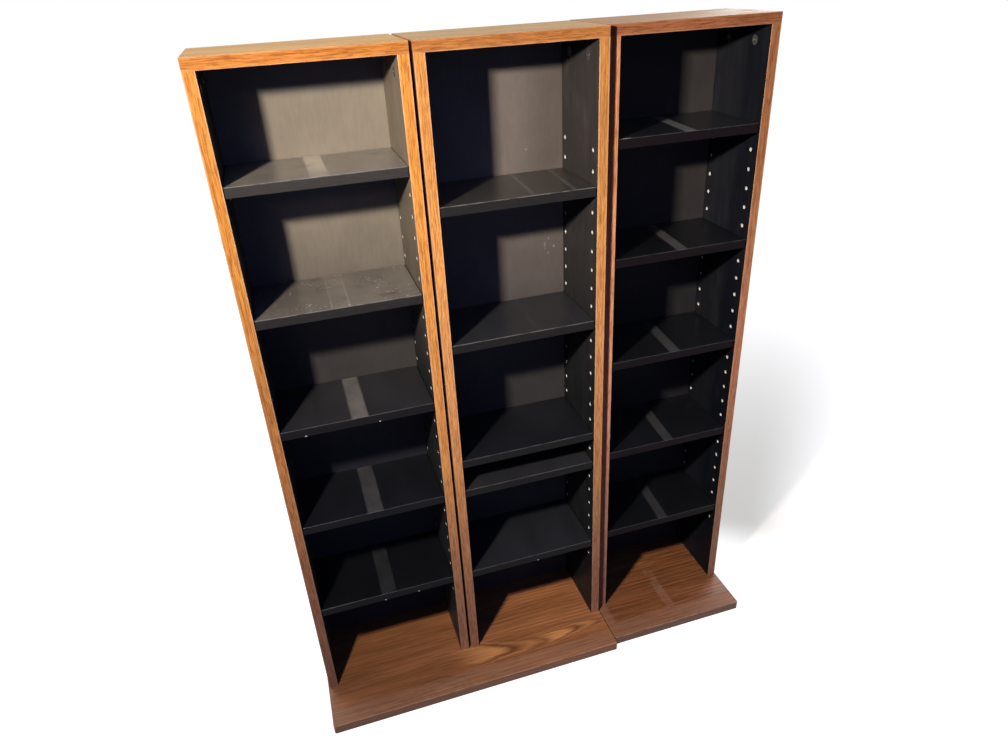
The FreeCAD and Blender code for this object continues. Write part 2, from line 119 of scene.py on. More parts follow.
class Wire:  # a shader socket that can be used in sums
    def __init__(self, tree, socket=None):
        self.tree = tree
        self.socket = socket

    def node(self, kind, settings, links, out=0):  # any node: type, settings, then values or links
        made = self.tree.nodes.new("ShaderNode" + kind)
        for key, value in settings.items():
            setattr(made, key, value)
        for key, value in links.items():
            if isinstance(value, Wire):
                self.tree.links.new(value.socket, made.inputs[key])
            else:
                made.inputs[key].default_value = value
        if out is None:
            return None
        if isinstance(out, tuple):
            return [Wire(self.tree, made.outputs[each]) for each in out]
        return Wire(self.tree, made.outputs[out])

    def calc(self, operation, *values):  # a Math node on the values, or on this wire where none is given
        return self.node("Math", {"operation": operation}, dict(enumerate(values or (self,))))

    def __add__(self, other):
        return self.calc("ADD", self, other)

    def __radd__(self, other):
        return self.calc("ADD", other, self)

    def __sub__(self, other):
        return self.calc("SUBTRACT", self, other)

    def __rsub__(self, other):
        return self.calc("SUBTRACT", other, self)

    def __mul__(self, other):
        return self.calc("MULTIPLY", self, other)

    def __rmul__(self, other):
        return self.calc("MULTIPLY", other, self)

    def __truediv__(self, other):
        return self.calc("DIVIDE", self, other)

    def __rtruediv__(self, other):
        return self.calc("DIVIDE", other, self)

    def __pow__(self, other):
        return self.calc("POWER", self, other)

    def __abs__(self):
        return self.calc("ABSOLUTE")

    def most(self, other):
        return self.calc("MAXIMUM", self, other)

    def fade(self, low, high):  # 0 up to low, 1 from high on, smooth between
        return self.node("MapRange", {"interpolation_type": "SMOOTHSTEP"},
                         {"Value": self, "From Min": low, "From Max": high})

    def past(self, edge, span):  # a fade over a span that is measured from an edge
        return self.fade(edge + span[0], edge + span[1])

    def spread(self):  # a noise value stretched to about 0 to 1
        return self.fade(0.3, 0.7)

    def near(self, spot, width):  # 1 at the spot, 0 from the width on
        return 1 - abs(self - spot).fade(0.0, width)

    def paint(self, under, over):  # this value as the share of the colour over
        return self.node("Mix", {"data_type": "RGBA"}, {0: self, 6: rgba(under), 7: rgba(over)}, out=2)


def rgba(colour):  # three numbers get their alpha, a wire stays a wire
    return colour if isinstance(colour, Wire) else (*colour, 1.0)


def scaled(colour, share):
    return tuple(share * part for part in colour)


def between(low, high, share):  # a colour on the way from low to high
    return tuple(a + share * (b - a) for a, b in zip(low, high))


def distance(u, v):
    return (u * u + v * v) ** 0.5


def dustAndPaintedLight(z, look, part):  # black board, paler the higher it stands: partly dust and fading, partly painted light for the lamp above
    low, high = look[part]
    return z.fade(*look["fadeSpan"]).paint(low, high)


def tinted(colour, share, dark, pale):  # a colour times a tone from dark to pale, each grey or coloured
    ends = [tone if isinstance(tone, tuple) else (tone, tone, tone) for tone in (dark, pale)]
    tone = share.paint(*ends)
    settings = {"data_type": "RGBA", "blend_type": "MULTIPLY"}
    return share.node("Mix", settings, {0: 1.0, 6: rgba(colour), 7: tone}, out=2)


def noise(w, x, y, z, detail=2.0, rough=0.5):  # noise on a stretched place, about 0.25 to 0.75
    place = w.node("CombineXYZ", {}, {0: x, 1: y, 2: z})
    return w.node("TexNoise", {}, {"Vector": place, "Scale": 1.0, "Detail": detail, "Roughness": rough})


def solidNoise(w, x, y, z, scale, detail=2.0, rough=0.5):  # the same scale in all directions
    return noise(w, x * scale, y * scale, z * scale, detail, rough)


# Noise from a row of numbers: the scales along u and v, a shift of the seed, detail and roughness,
# and where there are two more, the span that is stretched to 0 to 1.
def pattern(w, u, v, row, seed):
    scaleU, scaleV, shift, detail, rough, *span = row
    value = noise(w, u * scaleU, v * scaleV, seed + shift, detail, rough)
    return value.fade(*span) if span else value


def spots(u, v, marks):  # places rubbed pale, listed: (u, v, half width, half height) in millimetres
    cover = None
    for spotU, spotV, wide, high in marks:
        offU = (u - spotU * mm) / (wide * mm)
        offV = (v - spotV * mm) / (high * mm)
        spot = 1 - (offU * offU + offV * offV).fade(0.35, 1.0)
        cover = spot if cover is None else spot.most(cover)
    return cover


def startPaint(name):  # a bare material and the wires of its Object coordinates
    paint = bpy.data.materials.new(name)
    paint.use_nodes = True
    paint.node_tree.nodes.clear()
    w = Wire(paint.node_tree)
    place = w.node("TexCoord", {}, {}, out="Object")
    x, y, z = w.node("SeparateXYZ", {}, {0: place}, out=(0, 1, 2))
    return paint, w, x, y, z


def finishPaint(w, colour, rough, relief, depth, strength=0.5, **fixed):  # fixed: sockets with one value
    links = {"Base Color": rgba(colour), "Roughness": rough}
    links.update({key.replace("_", " "): value for key, value in fixed.items()})
    links["Normal"] = w.node("Bump", {}, {"Strength": strength, "Distance": depth, "Height": relief})
    shader = w.node("BsdfPrincipled", {}, links)
    w.node("OutputMaterial", {}, {"Surface": shader}, out=None)


# Oak figure: rings = sqrt(across^2 + depth^2) / spacing about a heart line that wanders, and the depth
# of the cut below the heart drifts along the board, so that flat-cut ovals open where it is least.
oak = {"ripple": (16.0, 60.0, 0.0, 2.0, 0.5), "broad": (4.0, 38.0, 1.0, 3.0, 0.5), "broadTones": (0.82, 1.12),
       "driftShift": 3.0, "yearStep": 7.3, "yearRun": 3.0, "strongSpan": (0.30, 0.66),
       "lateSpan": (0.30, 0.88, 0.91)}


def lateWood(rings, riseFrom, riseTo, fallFrom):  # the dark part of each ring: a slow rise and a quick fall
    phase = rings.calc("FRACT")
    return phase.fade(riseFrom, riseTo) * (1 - phase.fade(fallFrom, 1.0))


def oakFigure(w, along, across, s, seed):
    wander = noise(w, along * s["wanderScale"], seed, 0.0, 1.0)
    ripple = pattern(w, along, across, oak["ripple"], seed)
    offset = across + (wander - 0.5) * s["wander"] + (ripple - 0.5) * s["ripple"]
    drift = noise(w, along * s["depthScale"], seed + oak["driftShift"], 0.0, 1.0)
    depth = s["depth"] + (drift - 0.5) * s["depthSwing"]
    rings = distance(offset, depth) / s["ring"]
    year = rings.calc("FLOOR")
    strong = noise(w, year * oak["yearStep"], seed, along * oak["yearRun"], 0.0).fade(*oak["strongSpan"])
    late = lateWood(rings, *oak["lateSpan"]) * (0.35 + 0.65 * strong)  # some rings are darker than others
    pores = pattern(w, along, across, s["pores"], seed)
    broad = pattern(w, along, across, oak["broad"], seed)
    return late, pores, broad


def oakColour(body, s, late, pores, broad):
    pale = broad.spread().paint(*[scaled(body, tone) for tone in oak["broadTones"]])
    lined = (late * s["lateShare"]).paint(pale, scaled(body, s["lineTone"]))
    return (pores * s["poreShare"]).paint(lined, scaled(body, s["poreTone"] * s["lineTone"]))


print("shader tools ready")


# Board: a rounded rectangle carried along one axis and drawn in by a quarter round at both ends.
# point(s, u) = path(s) + section(u) - inset(s, u) * normal(u). Where the normal leans by a towards an end,
# the path runs in by arris * (1 - sin a) and inset = arris * (1 - cos a). Knocks add to it on the arrises.
def boardShell(lo, hi, axis, arris, stations, dents=None, arcSteps=5):
    lo, hi = np.array(lo), np.array(hi)
    p, q = (axis + 1) % 3, (axis + 2) % 3
    turn = np.linspace(0.0, math.pi / 2, arcSteps)
    angle = (np.arange(4)[:, None] * math.pi / 2 + turn).ravel()
    normal = np.stack([np.cos(angle), np.sin(angle)], 1)
    side = np.array([[1, 1], [-1, 1], [-1, -1], [1, -1]]).repeat(arcSteps, 0)
    middle = np.array([lo[p] + hi[p], lo[q] + hi[q]]) / 2
    half = np.array([hi[p] - lo[p], hi[q] - lo[q]]) / 2
    section = middle + side * (half - arris) + arris * normal
    start = lo[axis] + arris * (1 - np.cos(turn))
    run = np.linspace(lo[axis], hi[axis], stations + 2)[1:-1]
    end = hi[axis] - arris * (1 - np.cos(turn[::-1]))
    path = np.concatenate([start, run, end])
    lean = np.concatenate([np.pi / 2 - turn, np.zeros(stations), turn])
    inset = np.repeat((arris * (1 - np.cos(lean)))[:, None], len(angle), 1)
    if dents is not None:
        inset = inset + dents(path)[:, None] * np.sin(2 * (angle % (math.pi / 2)))
    sign = np.where(np.arange(len(path)) < len(turn), -1.0, 1.0)
    points = np.empty((len(path), len(angle), 3))
    points[..., axis] = path[:, None]
    points[..., [p, q]] = section - inset[..., None] * normal
    facing = np.empty_like(points)
    facing[..., axis] = (sign * np.sin(lean))[:, None]
    facing[..., [p, q]] = np.cos(lean)[:, None, None] * normal
    rows, count = len(path), len(angle)
    j, i = np.meshgrid(np.arange(rows - 1), np.arange(count), indexing="ij")
    k = (i + 1) % count
    corners = [j * count + i, j * count + k, (j + 1) * count + k, (j + 1) * count + i]
    quads = np.stack(corners, -1).reshape(-1, 4)
    caps = [list(range(count))[::-1], list(range((rows - 1) * count, rows * count))]
    strips = np.append(i.ravel(), (-1, -1))  # which stretch of the section a face belongs to, -1 for the caps
    return points.reshape(-1, 3), quads, caps, facing.reshape(-1, 3), strips


# Knocks: a sum of bells, depth * exp(-((path - spot) / width)^2), depths and widths drawn in millimetres
def knocks(seed, s):
    draw = np.random.default_rng(seed)
    place = draw.uniform(0, 1, s["count"])
    depth = draw.uniform(*s["depth"], s["count"]) * mm
    width = draw.uniform(*s["width"], s["count"]) * mm

    def dents(path):
        spot = path.min() + place * np.ptp(path)
        return (depth * np.exp(-(((path[:, None] - spot) / width) ** 2))).sum(1)

    return dents


def addPiece(name, shells, paints, body, node, bandStrips=()):  # one mesh in place of a CAD node
    points, faces, facing, paintIndex, start = [], [], [], [], 0
    for shellPoints, quads, caps, shellFacing, strips in shells:
        points.append(shellPoints)
        facing.append(shellFacing)
        faces += (quads + start).tolist() + [[start + each for each in cap] for cap in caps]
        paintIndex.append(np.isin(strips, bandStrips))  # the second paint goes on the band
        start += len(shellPoints)
    mesh = bpy.data.meshes.new(name)
    mesh.from_pydata(np.concatenate(points).tolist(), [], faces)
    for paint in paints:
        mesh.materials.append(paint)
    mesh.polygons.foreach_set("use_smooth", np.ones(len(faces), dtype=bool))
    mesh.polygons.foreach_set("material_index", np.concatenate(paintIndex).astype(np.int32))
    mesh.normals_split_custom_set_from_vertices(np.concatenate(facing).tolist())
    piece = bpy.data.objects.new(name, mesh)
    bpy.context.scene.collection.objects.link(piece)
    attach(piece, body)
    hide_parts(node)


def paintNode(name, paint):
    mesh = nodes[name].data
    mesh.materials.clear()
    mesh.materials.append(paint)


# Oak edging: upright strips with grain along Z, a cross strip with grain along X over their ends.
# Spans are heights in metres, and those of the waist and the blush are a middle height and a reach.
# Its dull, shade, waist, floor, top and cross tones are painted light: they copy how the lamp falls on the
# strips.
edging = {
    "arris": 0.24 * mm, "stations": 300, "crossStations": 100, "joint": (-0.05 * mm, 0.05 * mm),
    "knocks": {"count": 26, "depth": (0.02, 0.10), "width": (2, 7)},
    "heartOff": 9 * mm, "rightShift": 5.3, "crossShift": 9.1,  # each strip has its own stretch of grain
    "dullSpan": (0.10, 0.58), "shadeSpan": (0.82, 1.08), "shade": (0.84, 0.82, 0.82),
    "waistSpan": (0.58, 0.40), "waist": (1.08, 1.10, 1.50),
    "floorSpan": (0.12, 0.50), "topSpan": (0.60, 0.95),
    "blushSpan": (0.42, 0.44), "gapReach": (6.5 * mm, 8.5 * mm), "crossShade": (0.86, 0.78, 0.84),
    "broadTones": (0.90, 1.06), "vein": (0.54, 0.41, 0.36),
    "lateShare": 0.24, "veinShare": 0.52, "dashShare": 0.64,
    "veins": (20.0, 640.0, 8.0, 2.0, 0.55, 0.48, 0.58), "dashes": (55.0, 800.0, 6.0, 2.0, 0.6, 0.50, 0.58),
    "worn": (0.48, 0.335, 0.215), "wornSpan": (-2.4 * mm, -0.6 * mm), "nickShare": 0.8,
    "chafe": (28.0, 200.0, 2.0, 3.0, 0.6, 0.28, 0.50),
    "figure": {
        "wander": 6 * mm, "wanderScale": 4.0, "ripple": 1.6 * mm, "depth": 20 * mm, "depthSwing": 12 * mm,
        "depthScale": 3.0, "ring": 3.6 * mm, "pores": (30.0, 1000.0, 0.0, 3.0, 0.7, 0.52, 0.66)},
}


def edgingPaint(tower):
    look = towers[tower]
    lo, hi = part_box(f"{tower}_edging")
    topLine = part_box(f"{tower}_top")[0].z
    wide = hi.z - topLine
    seed = look["seed"]
    paint, w, x, y, z = startPaint(f"{tower}EdgingOak")
    cross = z.past(topLine, edging["joint"])
    right = x.calc("GREATER_THAN", x, (lo.x + hi.x) / 2) * (1 - cross)
    left = 1 - right - cross
    stripX = x - lo.x - right * (hi.x - lo.x - wide)  # place across its own strip
    across = stripX + cross * (z - topLine - stripX)
    along = z + cross * (x - z) + right * edging["rightShift"] + cross * edging["crossShift"]
    late, pores, broad = oakFigure(w, along, across + edging["heartOff"], edging["figure"], seed)
    paintedRise = z.fade(*edging["dullSpan"])  # painted light: browner and duller towards the floor, paler higher up where the lamp falls
    colour = paintedRise.paint(*look["edging"])
    colour = tinted(colour, broad.spread(), *edging["broadTones"])
    # painted shade: darker towards the top of the uprights
    colour = tinted(colour, z.fade(*edging["shadeSpan"]), 1.0, edging["shade"])
    # painted light: brighter about the middle height
    colour = tinted(colour, z.near(*edging["waistSpan"]), 1.0, edging["waist"])
    floorward = 1 - z.fade(*edging["floorSpan"])
    topward = z.fade(*edging["topSpan"])
    # painted light: each upright's tone at the floor, halfway and the top, and the cross strip's tone, copy
    # how the lamp falls on it
    tone = 1 + cross * (look["crossTone"] - 1)
    for share, (low, middle, high) in zip((left, right), look["strips"]):
        tone = tone + share * (middle - 1 + floorward * (low - middle) + topward * (high - middle))
    colour = tinted(colour, tone * 0.5, 0.0, 2.0)  # half a tone is the share between 0 and 2
    if "blush" in look:  # the left upright is a little redder
        colour = tinted(colour, left * z.near(*edging["blushSpan"]), 1.0, look["blush"])
    if "gapShadowTint" in look:  # painted shade colour: redder and browner where the next tower's shadow falls on the upright
        colour = tinted(colour, 1 - x.past(lo.x, edging["gapReach"]), 1.0, look["gapShadowTint"])
    # painted shade: the cross strip darker
    colour = tinted(colour, cross, 1.0, edging["crossShade"])
    dashes = pattern(w, along, across, edging["dashes"], seed)
    veins = pattern(w, along, across, edging["veins"], seed)
    for lines, share in ((late, "lateShare"), (veins, "veinShare"), (dashes, "dashShare")):
        colour = tinted(colour, lines * edging[share], 1.0, edging["vein"])
    border = abs(across - wide / 2).past(wide / 2, edging["wornSpan"])
    chafe = pattern(w, along, across, edging["chafe"], seed)
    wornHigh = 0.35 + 1.3 * look["edging"][1][0]  # paler on the paler towers
    worn = paintedRise.paint(scaled(edging["worn"], 0.5), scaled(edging["worn"], wornHigh))
    colour = (border * (0.14 + 0.34 * chafe) * (1 - 0.5 * cross)).paint(colour, worn)
    if "nicks" in look:
        colour = (spots(x, z, look["nicks"]) * edging["nickShare"]).paint(colour, bareCore)
    rough = 0.40 + 0.14 * broad + 0.12 * pores
    relief = pores * -0.5 - dashes * 0.4 - late * 0.2
    finishPaint(w, colour, rough, relief, depth=0.12 * mm, strength=0.6, Specular_IOR_Level=0.07)
    return paint


def buildEdging(tower):
    node = f"{tower}_edging"
    lo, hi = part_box(node)
    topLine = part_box(f"{tower}_top")[0].z
    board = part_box(f"{tower}_left_side")
    width = board[1].x - board[0].x
    dents = knocks(int(10 * towers[tower]["seed"]), edging["knocks"])
    arris, stations = edging["arris"], edging["stations"]
    uprights = ((lo.x, lo.x + width), (hi.x - width, hi.x))
    shells = [boardShell((left, lo.y, lo.z), (right, hi.y, topLine), 2, arris, stations, dents)
              for left, right in uprights]
    shells.append(boardShell((lo.x, lo.y, topLine), hi, 0, arris, edging["crossStations"], dents))
    addPiece(f"{tower}_edging_oak", shells, [edgingPaint(tower)], "cabinets", node)


# Top board: oak-grain laminate above, raw edge behind, black below
topBoard = {
    "arris": 0.5 * mm, "stations": 40, "heartOff": 12 * mm, "skin": (-0.4 * mm, -0.2 * mm),
    "under": (0.2 * mm, 0.5 * mm), "dust": (14.0, 20.0, 0.0, 4.0, 0.65, 0.42, 0.72),
    "dustColour": (0.36, 0.28, 0.17), "dustShare": 0.30, "chipScale": 420.0, "chipSpan": (0.40, 0.62),
    "rawEdge": ((0.16, 0.10, 0.055), (0.31, 0.23, 0.145)),
    "endLines": (40.0, 900.0, 0.0, 3.0, 0.6, 0.35, 0.65), "endTones": (1.1, 0.62),
    "figure": {
        "wander": 30 * mm, "wanderScale": 3.0, "ripple": 3 * mm, "depth": 14 * mm, "depthSwing": 50 * mm,
        "depthScale": 5.0, "ring": 6.5 * mm, "pores": (30.0, 700.0, 0.0, 3.0, 0.7, 0.52, 0.66),
        "lineTone": 0.62, "poreTone": 0.7, "lateShare": 0.7, "poreShare": 0.5},
}


def topPaint(tower):
    look = towers[tower]
    lo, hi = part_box(f"{tower}_top")
    seed = look["seed"]
    paint, w, x, y, z = startPaint(f"{tower}TopOak")
    across = y - (lo.y + hi.y) / 2 - topBoard["heartOff"]
    late, pores, broad = oakFigure(w, x, across, topBoard["figure"], seed)
    colour = oakColour(look["top"], topBoard["figure"], late, pores, broad)
    dust = pattern(w, x, y, topBoard["dust"], seed)
    colour = (dust * topBoard["dustShare"]).paint(colour, topBoard["dustColour"])
    end = abs(x - (lo.x + hi.x) / 2).past((hi.x - lo.x) / 2, topBoard["skin"])
    endLines = pattern(w, y, z, topBoard["endLines"], seed)
    endOak = endLines.paint(*[scaled(sideBoard["outside"], tone) for tone in topBoard["endTones"]])
    colour = end.paint(colour, endOak)
    chips = solidNoise(w, x, y, z, topBoard["chipScale"]).fade(*topBoard["chipSpan"])
    behind = y.past(hi.y, topBoard["skin"])
    colour = behind.paint(colour, chips.paint(*topBoard["rawEdge"]))
    under = 1 - z.past(lo.z, topBoard["under"])
    colour = under.paint(colour, look["wall"][1])
    rough = 0.46 + 0.2 * dust + 0.1 * pores
    finishPaint(w, colour, rough, pores * -0.5 + late * -0.25, depth=0.1 * mm, Specular_IOR_Level=0.05)
    return paint


def buildTop(tower):
    node = f"{tower}_top"
    lo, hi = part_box(node)
    shells = [boardShell(lo, hi, 0, topBoard["arris"], topBoard["stations"])]
    addPiece(f"{tower}_top_board", shells, [topPaint(tower)], "cabinets", node)


# Side boards: oak-grain laminate outside, satin black inside, bare pale core in the pin holes
sideBoard = {
    "pitch": 32 * mm, "firstHole": 173 * mm, "lastHole": 973 * mm, "rowInset": (19 * mm, 133 * mm),
    "rowEnd": 1 * mm, "bore": 2.5 * mm, "rim": (0.3 * mm, 1.0 * mm), "rightSeed": 2.6,
    "innerSkin": (0.15 * mm, 0.35 * mm), "outerSkin": (-0.35 * mm, -0.15 * mm),
    "rear": (-0.3 * mm, -0.1 * mm), "shadeReach": (45 * mm, 80 * mm),
    "core": (0.52, 0.51, 0.49), "coreTone": 0.80,
    "rawEdge": ((0.15, 0.095, 0.05), (0.31, 0.23, 0.145)), "outside": (0.205, 0.088, 0.029),
    "streak": (260.0, 9.0, 0.0, 3.0, 0.6), "streakTones": (0.86, 1.12),
    "smear": (30.0, 12.0, 4.0, 4.0, 0.6, 0.45, 0.75), "smearTone": 1.35,
    "speck": (900.0, 900.0, 0.0, 2.0, 0.5, 0.62, 0.74), "speckTone": 1.4,
    "burst": (500.0, 500.0, 0.0, 2.0, 0.5, 0.30, 0.50), "gritScale": 500.0, "gritSpan": (0.38, 0.62),
    "figure": {
        "wander": 50 * mm, "wanderScale": 1.4, "ripple": 4 * mm, "depth": 16 * mm, "depthSwing": 70 * mm,
        "depthScale": 2.6, "ring": 8 * mm, "pores": (30.0, 700.0, 0.0, 3.0, 0.7, 0.52, 0.66),
        "lineTone": 0.48, "poreTone": 0.6, "lateShare": 0.75, "poreShare": 0.55},
}


def holeRims(y, z, front):  # 1 on the rims of the pin holes, whose rows repeat up the board
    rows = [abs(y - front - inset) for inset in sideBoard["rowInset"]]
    halfPitch, rowEnd = sideBoard["pitch"] / 2, sideBoard["rowEnd"]
    rung = z.calc("WRAP", z - sideBoard["firstHole"], halfPitch, -halfPitch)
    bottom = sideBoard["firstHole"] - halfPitch
    top = sideBoard["lastHole"] + halfPitch
    inRow = z.fade(bottom, bottom + rowEnd) * (1 - z.fade(top - rowEnd, top))
    radius = distance(y.calc("MINIMUM", *rows), rung)
    return (1 - radius.past(sideBoard["bore"], sideBoard["rim"])) * inRow


def sidePaint(tower, side):
    look = towers[tower]
    lo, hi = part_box(f"{tower}_{side}")
    isLeft = side == "left_side"
    inner = hi.x if isLeft else lo.x
    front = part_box(f"{tower}_edging")[0].y
    seed = look["seed"] + (0.0 if isLeft else sideBoard["rightSeed"])
    paint, w, x, y, z = startPaint(f"{tower}_{side}_laminate")
    depth = abs(x - inner)
    bare = depth.fade(*sideBoard["innerSkin"])
    skin = depth.past(hi.x - lo.x, sideBoard["outerSkin"])
    behind = y.past(hi.y, sideBoard["rear"])
    streak = pattern(w, y, z, sideBoard["streak"], seed)
    smear = pattern(w, y, z, sideBoard["smear"], seed)
    # painted shade: the left wall, in shadow, is dark all over; the right wall grows paler higher up, partly
    # painted light
    plain = look["wall"][0] if isLeft else dustAndPaintedLight(z, look, "wall")
    black = tinted(plain, streak.spread(), *sideBoard["streakTones"])
    black = tinted(black, smear, 1.0, sideBoard["smearTone"])
    if "wallPaintedShade" in look and not isLeft:  # painted shade: its front half darker and bluer, its rear half paler
        black = tinted(black, y.past(front, sideBoard["shadeReach"]), *look["wallPaintedShade"])
    black = tinted(black, pattern(w, y, z, sideBoard["speck"], seed), 1.0, sideBoard["speckTone"])
    burst = pattern(w, y, z, sideBoard["burst"], seed)
    dullCore = scaled(sideBoard["core"], sideBoard["coreTone"])
    black = (holeRims(y, z, front) * (0.45 + 0.5 * burst)).paint(black, dullCore)
    grit = solidNoise(w, x, y, z, sideBoard["gritScale"]).fade(*sideBoard["gritSpan"])
    inside = behind.paint(grit.paint(dullCore, sideBoard["core"]), grit.paint(*sideBoard["rawEdge"]))
    late, pores, broad = oakFigure(w, z, y - (lo.y + hi.y) / 2, sideBoard["figure"], seed)
    grained = oakColour(sideBoard["outside"], sideBoard["figure"], late, pores, broad)
    colour = skin.paint(bare.paint(black, inside), grained)
    rough = 0.40 + 0.16 * smear + bare * 0.25 * (1 - skin) + skin * 0.05
    relief = streak * 0.25 * (1 - skin) - skin * (pores * 0.5 + late * 0.3)
    finishPaint(w, colour, rough, relief, depth=0.1 * mm, strength=0.4, Specular_IOR_Level=0.08)
    return paint


# Back panel: printed hardboard, black in front and paler higher up, partly faded and dusty, partly painted
# light, with painted shade in places; brown and pressed with a mesh behind
backPanel = {
    "streak": (260.0, 40.0, 0.0, 3.0, 0.6, 0.25, 0.75), "streakTones": (0.95, 1.04),
    "cloud": (11.0, 9.0, 2.0, 4.0, 0.6, 0.3, 0.7), "cloudTones": (0.90, 1.07),
    "speck": (520.0, 520.0, 0.0, 2.0, 0.5, 0.68, 0.78), "speckTone": 1.25,
    "grain": (900.0, 420.0, 1.0, 2.0, 0.5),
    "scuff": (300.0, 200.0, 0.0, 3.0, 0.5, 0.3, 0.6), "scuffColour": (0.30, 0.28, 0.26), "scuffShare": 0.40,
    "left": (30 * mm, 90 * mm), "low": (0.42, 0.54), "under": (-62 * mm, -38 * mm),  # where the painted shadow lies
    "board": (0.0, 1 * mm),
    "fibre": (160.0, 160.0, 0.0, 4.0, 0.7, 0.3, 0.7), "brown": ((0.085, 0.048, 0.025), (0.145, 0.088, 0.049)),
    "weave": 2200.0, "weaveSpan": (-0.4, 0.8), "pit": (0.068, 0.038, 0.020),
    "rear": (-0.4 * mm, -0.2 * mm),
}


def paintedShadowShare(tower, x, z, left):  # painted shadow: darker at the left, low down and close under each board, where the lamp's shadow falls
    shadowed = 1 - x.past(left, backPanel["left"]) * z.fade(*backPanel["low"])
    for board in ["top"] + [f"shelf_{number}" for number in shelfNumbers]:
        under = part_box(f"{tower}_{board}")[0].z
        close = z.past(under, backPanel["under"]) * (1 - z.past(under, backPanel["board"]))
        shadowed = shadowed.most(close)
    return shadowed


def panelPaint(tower):
    look = towers[tower]
    lo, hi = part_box(f"{tower}_back")
    seed = look["seed"]
    paint, w, x, y, z = startPaint(f"{tower}BackPanel")
    grain = pattern(w, x, z, backPanel["grain"], seed)
    # painted light with dust: the panel paler higher up
    face = dustAndPaintedLight(z, look, "panel")
    face = tinted(face, pattern(w, x, z, backPanel["streak"], seed), *backPanel["streakTones"])
    face = tinted(face, pattern(w, x, z, backPanel["cloud"], seed), *backPanel["cloudTones"])
    if "paintedShadeBorder" in look:  # painted shade: darker towards its right border, high up
        cleanAndShaded = look["paintedShadeBorder"]
        face = tinted(face, x.fade(*cleanAndShaded["x"]) * z.fade(*cleanAndShaded["z"]), 1.0, cleanAndShaded["tone"])
    # painted shadow on the panel
    if "paintedShadow" in look:
        face = tinted(face, paintedShadowShare(tower, x, z, lo.x), 1.0, look["paintedShadow"])
    face = tinted(face, pattern(w, x, z, backPanel["speck"], seed), 1.0, backPanel["speckTone"])
    if "scuffs" in look:
        rubbed = spots(x, z, look["scuffs"]) * pattern(w, x, z, backPanel["scuff"], seed)
        face = (rubbed * backPanel["scuffShare"]).paint(face, backPanel["scuffColour"])
    weave = (x * backPanel["weave"]).calc("SINE") * (z * backPanel["weave"]).calc("SINE")
    board = pattern(w, x, z, backPanel["fibre"], seed).paint(*backPanel["brown"])
    board = weave.fade(*backPanel["weaveSpan"]).paint(backPanel["pit"], board)
    rear = y.past(hi.y, backPanel["rear"])
    colour = rear.paint(face, board)
    rough = 0.52 + 0.14 * grain + 0.12 * rear
    relief = grain * 0.5 * (1 - rear) + rear * weave * 0.5
    finishPaint(w, colour, rough, relief, depth=0.15 * mm, strength=0.35, Specular_IOR_Level=0.05)
    return paint


# Shelves: satin black laminate with dust where no case stood, painted shade below and in the rear left
# corner, and a dull edge band in front
shelf = {
    "arris": 0.8 * mm, "stations": 110, "knocks": {"count": 9, "depth": (0.08, 0.35), "width": (1.5, 5)},
    "bandStrips": range(7, 12),  # the front face and the nearer halves of its arrises
    "seedStep": 3.7,
    "top": (-0.5 * mm, -0.2 * mm), "blackTint": (1.0, 1.20, 1.85), "dustyTint": (1.0, 0.92, 0.81),
    "dustyFrom": 0.023, "underside": 0.0046, "rubbed": (0.152, 0.150, 0.158),
    "grain": (60.0, 420.0, 0.0, 3.0, 0.6), "grainTones": (0.90, 1.08),
    "smear": (16.0, 9.0, 0.0, 2.0, 0.5, 0.30, 0.75), "smearTones": (0.88, 1.20),
    "patchy": (40.0, 26.0, 1.0, 4.0, 0.6, 0.28, 0.66), "dustEdge": (-2.0 * mm, 1.5 * mm),
    "front": (10 * mm, 90 * mm),
    "lint": (300.0, 300.0, 2.0, 1.0, 0.5, 0.64, 0.72), "lintShare": 0.7,
    "lintPlaces": (20.0, 20.0, 0.0, 2.0, 0.5, 0.45, 0.6), "cleanAndShaded": (24.0, 34.0, 6.0, 3.0, 0.6, 0.52, 0.74),
    "cleanTone": 0.62, "shadowSlope": 0.6, "shadowSpan": (40 * mm, 85 * mm), "shadowTone": (0.48, 0.53, 0.70),
    "wornTop": (0.5 * mm, 1.8 * mm), "wornBand": (-1.6 * mm, -0.5 * mm),
    "rub": {"scaleX": 45.0, "scaleZ": 60.0, "detail": 4.0, "rough": 0.65, "span": (0.34, 0.58)},
    "bandGrain": (40.0, 700.0, 0.0, 3.0, 0.6), "bandTones": (0.8, 1.15), "chipSize": (2.2, 3.0),
    "sheen": {"Specular_IOR_Level": 0.6, "Specular_Tint": (0.75, 0.86, 1.0, 1.0),
              "Coat_Weight": 0.45, "Coat_Roughness": 0.34},
}


def rubbedShare(w, x, z, seed, look, number, height):  # wear of the front arris, more on the higher shelves
    s = shelf["rub"]
    rub = noise(w, x * s["scaleX"], seed, z * s["scaleZ"], s["detail"], s["rough"]).fade(*s["span"])
    return (0.25 + 0.75 * rub) * (look["wear"][number - 1] * (0.3 + 0.7 * height))


def shelfDust(x, y, lo, hi, strip, number, patchy):  # dust on the bare strip and along its borders
    gap = abs(x - (lo.x + hi.x) / 2 - strip["at"] - (y - lo.y) * strip["lean"])  # off the strip's middle
    half = strip["wide"] / 2
    filled = (1 - gap.past(half, shelf["dustEdge"])) * (0.65 + 0.35 * patchy) * strip["dust"][number - 1]
    if number in strip["front"]:
        shown = strip["front"][number]
        filled = filled * (shown + (1 - shown) * y.past(lo.y, shelf["front"]))
    border = gap.near(half, strip["soft"]) * (0.3 + 0.7 * patchy) * strip["border"][number - 1]
    return filled.most(border)


